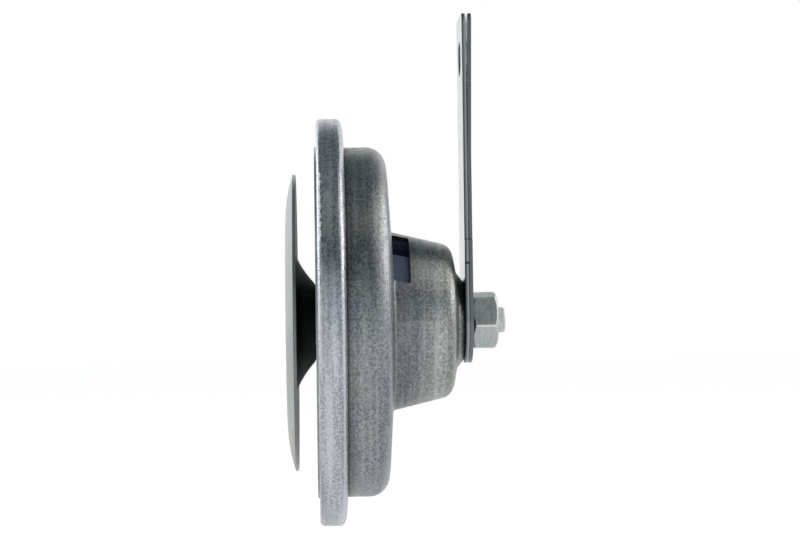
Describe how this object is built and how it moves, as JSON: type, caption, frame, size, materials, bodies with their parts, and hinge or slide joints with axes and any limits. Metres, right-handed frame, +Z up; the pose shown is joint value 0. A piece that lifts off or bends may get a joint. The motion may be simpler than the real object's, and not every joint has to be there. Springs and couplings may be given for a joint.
{
  "type": "car horn",
  "caption": "Electromagnetic disc horn: a tone disc on a diaphragm in a clamped steel housing, with a coil, a contact breaker and a strip bracket.",
  "frame": {"origin": "centre of the bracket's mounting hole, midway through its two leaves", "axes": "+Z up along the bracket, +Y rearwards along the horn's axis and the mounting hole, so the horn sounds towards -Y"},
  "size_m": [0.1012, 0.0545, 0.1266],
  "materials": {
    "zinc_plated_housing": "zinc plated, satin",
    "zinc_plated_ring": "zinc plated, satin",
    "zinc_plated_disc": "zinc plated, satin",
    "zinc_plated_bracket": "zinc plated, satin",
    "zinc_plated_nut": "zinc plated, satin",
    "turned_steel": "turned, zinc plated",
    "steel_hardware": "zinc plated",
    "spring_steel": "rolled, plain",
    "magnet_steel": "plain",
    "tungsten": "ground",
    "gasket_paper": "pressed fibre",
    "carrier_plastic": "dark blue, moulded",
    "bobbin_plastic": "natural, moulded",
    "laminate": "paper laminate, brown",
    "copper_wire": "enamelled copper",
    "blade_brass": "stamped, plain",
    "resistor_body": "cement coated",
    "lead_insulation": "black sleeve"
  },
  "bodies": {
    "horn_body": {"housing": "zinc_plated_housing", "clamp_ring": "zinc_plated_ring", "front_bracket_leaf": "zinc_plated_bracket", "rear_bracket_leaf": "zinc_plated_bracket", "mount_nut": "zinc_plated_nut", "pole_core": "turned_steel", "adjusting_screw": "turned_steel", "spacer_ring": "steel_hardware", "breaker_rivets": "steel_hardware", "carrier_rivets": "steel_hardware", "adjuster_bush": "steel_hardware", "diaphragm": "spring_steel", "contact_spring": "spring_steel", "yoke_plate": "magnet_steel", "fixed_contact_arm": "magnet_steel", "moving_contact": "tungsten", "fixed_contact": "tungsten", "front_gasket": "gasket_paper", "rear_gasket": "gasket_paper", "terminal_carrier": "carrier_plastic", "coil_bobbin": "bobbin_plastic", "front_insulator": "laminate", "rear_insulator": "laminate", "coil_winding": "copper_wire", "blade_terminal": "blade_brass", "suppressor_resistor": "resistor_body", "terminal_lead": "lead_insulation", "breaker_lead": "lead_insulation"},
    "sounder": {"tone_disc": "zinc_plated_disc", "armature": "turned_steel", "armature_washer": "steel_hardware", "hub_washer": "steel_hardware", "push_collar": "bobbin_plastic"}
  },
  "joints": [
    {"name": "armature_travel", "type": "slide", "parent": "horn_body", "child": "sounder", "axis": [0, 1, 0], "range_m": [-0.0004, 0.0004], "stiffness_N_per_m": 5000, "deforming": ["diaphragm", "contact_spring"]}
  ]
}
